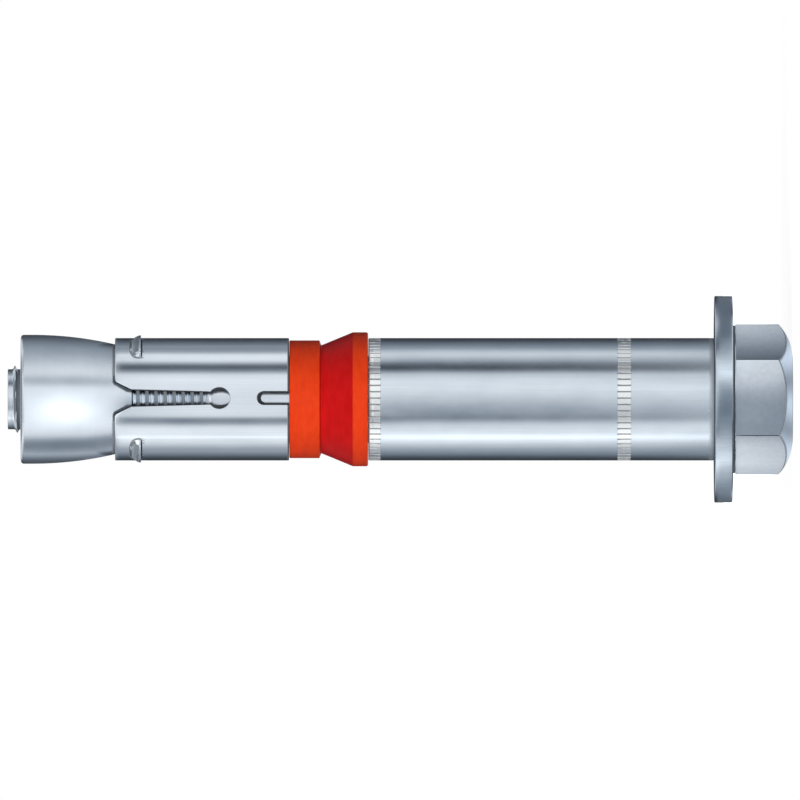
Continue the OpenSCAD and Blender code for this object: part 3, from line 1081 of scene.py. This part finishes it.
# %% Three fingers
points, faces, shade_share = [], [], []
for k in range(SLOTS):
    # A slot faces the camera's side, and the lugs are midway between the slots
    turn_by = -np.pi / 2 + HALF + k * 2 * HALF
    c, s = math.cos(turn_by), math.sin(turn_by)
    for part, part_faces, mark in parts:
        start = sum(map(len, points))
        x, y = part[:, 0] * c - part[:, 1] * s, part[:, 0] * s + part[:, 1] * c
        points.append(np.stack([x, y, part[:, 2]], 1))
        faces += [tuple(start + i for i in face) for face in part_faces]
        shade_share.append(mark * np.ones(len(part)))
spread = finished(
    "slit_expansion_sleeve", np.concatenate(points), faces, 0.003, np.concatenate(shade_share)
)
fit(spread, spread_zinc, "sleeve", "expansion_sleeve")

# %% [markdown]
# ## Studio
#
# Polished metal shows only what stands round it, so the studio is a light tent: a wide drum whose
# wall glows, bright where the metal should be light and dim where it should be dark. Photographers
# do the same with white cards and black flags. The tent is hidden from the camera, which sees
# plain white behind the anchor. Its stripes run on over the floor, so a tube looks like polished
# metal from above too. The nut leans out, so near the sleeve it mirrors a ring of the floor, which
# has the nut's own stripes. Angles are counted from the camera, upwards in the picture.

# %% Glowing panels
BLUISH, WHITE = (0.86, 0.98, 1.14, 1), (1, 1, 1, 1)


def bare(name):
    """A material with an empty node tree, and the start of that tree."""
    material = bpy.data.materials.new(name)
    material.use_nodes = True
    material.node_tree.nodes.clear()
    return material, Tone(material.node_tree, None)


def shown(shader):
    """Makes a shader the surface of its material."""
    out = shader.tree.nodes.new("ShaderNodeOutputMaterial")
    shader.tree.links.new(shader.socket, out.inputs["Surface"])


def glow(name, level=None):
    """A material that shines at a level, or as its mesh is marked, where dim light is bluish."""
    material, start = bare(name)
    if level is None:
        share = start.node("ShaderNodeAttribute", {"attribute_name": "glow"}, out="Fac")
        colour = share.between(0, 0.9).mix(BLUISH, WHITE).scaled(share)
    else:
        colour = (level, level, level, 1)
    shown(start.node("ShaderNodeEmission", Color=colour))
    return material


def on_stage(name, points, faces, material):
    """A piece of the studio: not part of the object."""
    mesh = bpy.data.meshes.new(name)
    mesh.from_pydata(points, [], faces)
    mesh.materials.append(material)
    made = placed(name, mesh)
    return made


def panel(name, bearings, rows):
    """A glowing panel round the axis: each row is a radius, a height and its level by bearing."""
    turns = np.radians(bearings)
    points, shares = [], []
    for radius, height, level in rows:
        points += [(radius * math.sin(a), -radius * math.cos(a), height) for a in turns]
        shares += list(level(bearings))
    made = on_stage(name, points, strip(len(rows), len(turns)), glow(name))
    shine = made.data.attributes.new("glow", "FLOAT", "POINT")
    shine.data.foreach_set("value", np.array(shares, np.float32))
    print(f"{name}: mean level {np.mean(shares):.2f}")
    return made


# %% Levels by bearing
def levels(stops, piece_r=0.0, panel_r=1.0, rear=0.0, behind=None):
    """Level by bearing from (angle, level) stops: a round piece mirrors the level at the angle."""
    share = piece_r / panel_r
    sines = [share * math.sin(math.radians(a / 2)) for a, _ in stops]
    bearing = [a - math.degrees(math.asin(v)) for (a, _), v in zip(stops, sines)]
    behind = behind or 184 - math.degrees(math.asin(share))

    def level(bearings):
        lift = rear * np.clip((np.abs(bearings) - behind) / 8, 0, 1)
        return np.maximum(np.interp(bearings, bearing, [b for _, b in stops]), lift)

    return level


def even(level):
    """The same level at every bearing."""
    return levels([(-180, level), (180, level)])


# %% Stripes for the nut
NUT_CARD = [
    (-180, 0.05), (-150, 0.1), (-135, 0.2), (-118, 0.5), (-108, 0.36), (-98, 0.26), (-86, 0.26),
    (-78, 0.42), (-70, 0.8), (-60, 0.95), (-52, 1.0), (18, 0.98), (24, 0.75), (29, 0.56),
    (36, 0.58), (42, 0.78), (48, 0.88), (57, 0.84), (67, 0.7), (78, 0.56), (90, 0.44),
    (103, 0.37), (119, 0.25), (135, 0.14), (150, 0.08), (180, 0.05),
]


def nut_stripes(height, panel_r, behind=None):
    """Level by bearing for the nut at a height, its radius there, and how mirrored rays fall."""
    here, lean = flank(min(height, land_z)), math.asin(max(land_z - height, 0) / FLANK_R)
    sines = [(nut_r / here * math.sin(math.radians(a / 2)), level) for a, level in NUT_CARD]
    stops = [(2 * math.degrees(math.asin(v)), level) for v, level in sines if abs(v) <= 1]
    return levels(stops, here, panel_r, 0.6, behind), here, math.tan(2 * lean)


def with_glow(stripes, share, bearing, width):
    """Stripes with a soft glow round a bearing."""
    return lambda b: stripes(b) + share * np.exp(-(((b - bearing) / width) ** 2))


def nut_floor(radius, height, share, behind=None):
    """A row of the floor that the nut mirrors at a height near the sleeve's mouth."""
    stripes, _, _ = nut_stripes(height, radius / MM, behind)
    return radius, LOW, with_glow(stripes, share, -22, 26)


# %% Light tent
TENT_R, TENT_H = 1.0, 1.15
TENT = [
    (-180, 0.04), (-150, 0.06), (-138, 0.13), (-122, 0.32), (-108, 0.52), (-97, 0.78),
    (-88, 1.06), (-77, 1.58), (-68, 1.06), (-56, 0.92), (-47, 0.7), (-41, 0.38), (-36, 0.23),
    (-30, 0.28), (-18, 0.42), (-5, 0.62), (8, 0.84), (20, 0.98), (34, 0.98), (46, 0.74),
    (52, 0.37), (57, 0.07), (63, 0.06), (70, 0.2), (82, 0.62), (92, 0.84), (98, 0.78),
    (110, 0.42), (124, 0.24), (140, 0.1), (155, 0.05), (180, 0.04),
]
circle = np.arange(-180, 182, 2.0)
striped, plain = levels(TENT), even(0.75)
# A hair above the floor, and the bearing from which the floor is bright behind the anchor
LOW, REAR = 0.0002, 136
skirt = levels(TENT, rear=0.65, behind=REAR)
tent = panel(
    "light_tent",
    circle,
    [
        (0.03, LOW, even(0.3)),
        (0.08, LOW, skirt),
        (0.18, LOW, skirt),
        nut_floor(0.2, 94.0, 0, REAR),
        nut_floor(0.265, 96.0, 0.2, REAR),
        nut_floor(0.33, 97.6, 0.4, REAR),
        nut_floor(0.4, 97.6, 0.3),
        nut_floor(0.6, 97.6, 0),
        (0.65, LOW, striped),
        (TENT_R, LOW, striped),
        (TENT_R, 0.35, striped),
        (TENT_R, 0.55, plain),
        (TENT_R, TENT_H, plain),
    ],
)

# %% [markdown]
# A tent alone gives every piece the same stripes. The pieces differ because cards stand round
# some of them: one in front of the expansion sleeve, a low drum round the nut with a soft glow in
# it, and a fence round the head and the washer. They show only in reflections, and so does the
# grey roof.

# %% Levels of the cards
SLEEVE_CARD = [
    (-180, 0.05), (-150, 0.06), (-135, 0.12), (-118, 0.3), (-105, 0.5), (-93, 0.82), (-81, 1.0),
    (-77.5, 1.4), (-74, 1.0), (-60, 1.02), (-54, 0.85), (-47, 0.33), (-42, 0.22), (-38, 0.32),
    (-33, 0.94), (-26, 0.98), (10, 0.9), (36, 1.02), (46, 0.9), (53, 0.34), (60, 0.1), (65, 0.14),
    (70, 0.44), (77, 1.0), (91, 1.0), (95, 0.7), (99, 0.42), (104, 0.34), (114, 0.28), (130, 0.18),
    (150, 0.06), (180, 0.05),
]
WASHER_CARD = [
    (-180, 0.1), (-140, 0.25), (-110, 0.44), (-90, 0.72), (-80, 1.0), (-72, 1.25), (-61, 0.98),
    (-41, 0.55), (-30, 0.4), (-14, 0.26), (6, 0.38), (14, 0.6), (20, 0.9), (28, 1.25), (40, 0.88),
    (50, 0.62), (60, 0.42), (75, 0.22), (150, 0.2), (180, 0.1),
]
HEAD_CARD = [
    (-180, 0.6), (-150, 0.6), (-120, 0.3), (-108, 0.5), (-106, 0.75), (-101, 1.0), (-96, 0.9),
    (-91, 0.75), (-88, 0.1), (-20, 0.05), (-15, 0.42), (0, 0.44), (2.5, 0.5), (4.5, 0.64),
    (6.5, 0.8), (9, 0.92), (14, 1.0), (18, 1.1), (70, 1.1), (78, 0.06), (90, 0.08), (95, 0.2),
    (100, 0.42), (106, 0.75), (112, 0.5), (125, 0.3), (150, 0.6), (180, 0.6),
]
print("stops:", len(SLEEVE_CARD), len(WASHER_CARD), len(HEAD_CARD))

# %% Cards for the single pieces
# Radii of the cards in millimetres: round the nut and the head, and in front of the sleeve
NEAR_R, SLEEVE_CARD_R = 22.0, 200.0
# Height of the glow on the nut, and how far it spreads up and down
GLOW_Z, GLOW_H = 100.3, 4.2


def nut_row(height):
    """The row of the nut's card that the nut mirrors at a height: stripes and a soft glow."""
    stripes, here, fall = nut_stripes(height, NEAR_R)
    share = 0.6 * math.exp(-(((height - GLOW_Z) / GLOW_H) ** 2))
    z = height - (NEAR_R - here) * fall
    return NEAR_R * MM, z * MM, with_glow(stripes, share, -18, 21)


head_stripes = levels(HEAD_CARD)
sleeve_stripes = levels(SLEEVE_CARD, sleeve_r, SLEEVE_CARD_R)
washer_stripes = levels(WASHER_CARD, washer_r, NEAR_R, 0.6)
fence = [
    (0.0003, lambda b: 0.8 * head_stripes(b)),
    (0.0077, head_stripes),
    (0.0083, washer_stripes),
    (0.0103, washer_stripes),
]
front = np.arange(-112, 113, 2.0)
sleeve_rows = [(SLEEVE_CARD_R * MM, z, sleeve_stripes) for z in (0.062, 0.0965)]
cards = [
    panel("sleeve_card", front, sleeve_rows),
    panel("nut_card", circle, [nut_row(z) for z in np.arange(97.6, 108, 0.6)]),
    panel("head_fence", circle, [(NEAR_R * MM, z, level) for z, level in fence]),
]


# %% Roof
def disc(name, radius, height, columns, material):
    """A flat round piece of the studio."""
    turns = np.linspace(0, 2 * np.pi, columns, endpoint=False)
    rim = [(x, y, height) for x, y in arc(0, 0, radius, turns)]
    return on_stage(name, rim, [tuple(range(columns))], material)


roof = disc("grey_roof", TENT_R, TENT_H, 72, glow("grey_roof", 0.25))
for card in [tent, *cards, roof]:
    card.visible_camera = card.visible_diffuse = card.visible_shadow = False
print(f"{len(cards)} cards, and a roof {TENT_H} m up")

# %% [markdown]
# The plastic ring is matt next to the metal, so it needs light that falls on it and not a pattern
# to mirror. A soft box in front does that, and a weaker one behind. Reflections leave out both.

# %% Soft boxes
for name, bearing, power in (("soft_box_front", -12, 6.6), ("soft_box_rear", 180, 3.0)):
    light = bpy.data.lights.new(name, "AREA")
    light.shape, light.size, light.energy = "DISK", 0.5, power
    soft_box = placed(name, light)
    aim = Matrix.Translation((0, 0, 0.06)) @ Matrix.Rotation(math.radians(bearing), 4, "Z")
    tilt = Matrix.Translation((0, -0.85, 0.1)) @ Matrix.Rotation(math.radians(83), 4, "X")
    soft_box.matrix_world = aim @ tilt
    soft_box.visible_glossy = False
    print(f"{name}: {power} W")

# %% [markdown]
# The floor itself is pale paper. Far off it shines plain white for the camera, so that no horizon
# shows, and near the anchor it keeps the shadow. The head mirrors the floor in soft bands.

# %% Floor
FLOOR_R, BAND_W = 0.99, 6.9


def ray_kinds(start):
    """1 where the camera looks straight at a place, and 1 where a piece mirrors or passes it."""
    ray = start.node("ShaderNodeLightPath").socket.node
    kinds = ("Camera", "Glossy", "Transmission")
    seen, glossy, passed = (Tone(start.tree, ray.outputs[f"Is {kind} Ray"]) for kind in kinds)
    return seen, start.math("MAXIMUM", glossy, passed)


pale, start = bare("pale_floor")
seen, mirrored = ray_kinds(start)
place = place_on_piece(start.tree)
sideways, _, _ = xyz(place)
_, distance = height_and_radius(place)
paper = start.node("ShaderNodeBsdfDiffuse", Color=(0.9, 0.9, 0.9, 1))
bands = 0.5 + 0.22 * start.math("COSINE", (sideways + 0.95) * (2 * np.pi / BAND_W))
# For reflections the floor glows in soft bands, with a painted contact shadow round the head's
# foot
glow_with_contact_shadow = bands * (0.15 + 0.85 * distance.between(5.6, 6.8)) * distance.between(15, 11) + 0.15
cool = mirrored.mix(WHITE, (0.88, 0.97, 1.08, 1)).scaled(seen * 1.7 + mirrored * glow_with_contact_shadow)
white = start.node("ShaderNodeEmission", Color=cool)
share = start.math("MAXIMUM", seen * (0.5 + 0.5 * distance.between(120, 400)), mirrored)
shown(start.node("ShaderNodeMixShader", i0=share, i1=paper, i2=white))
disc("pale_floor", FLOOR_R, -0.00002, 72, pale)
print(f"floor {2 * FLOOR_R} m across")

# %% Background
world = bpy.data.worlds.new("white_studio")
bpy.context.scene.world = world
world.use_nodes = True
start = Tone(world.node_tree, None)
white_seen = start.math("MAXIMUM", *ray_kinds(start))
start.feed(world.node_tree.nodes["Background"], "Color", 0.12 + white_seen * 0.88)
print("world:", world.name)

# %% [markdown]
# ## Camera
#
# The picture is a side view with no perspective to speak of, so the camera stands far off with a
# very long lens. It is turned on its side: the anchor stands on its head in the model and lies
# level in the picture, with the head to the right.

# %% Camera
PIXEL = 7.245
FRAME_MM = 800 / PIXEL
LENS, SENSOR = 1500.0, 36.0
lens = bpy.data.cameras.new("side_view")
lens.lens, lens.sensor_width = LENS, SENSOR
lens.clip_start, lens.clip_end = 0.1, 50
camera = placed("side_view", lens)
away = FRAME_MM * MM * LENS / SENSOR
# Height at the middle of the picture, and how far the axis is from it
MIDDLE_Z, OFF_AXIS = 54.19 * MM, 0.1 * MM
# The slot looks a hair above the lens
SLOT_TURN = math.radians(1.2)
c, s = math.cos(SLOT_TURN), math.sin(SLOT_TURN)
camera.matrix_world = Matrix((
    (0, c, -s, -OFF_AXIS * c - away * s),
    (0, -s, -c, OFF_AXIS * s - away * c),
    (-1, 0, 0, MIDDLE_Z),
    (0, 0, 0, 1),
))
bpy.context.scene.camera = camera
bpy.context.scene.view_settings.view_transform = "Standard"
print(f"camera {away:.2f} m away, frame {FRAME_MM:.2f} mm wide")
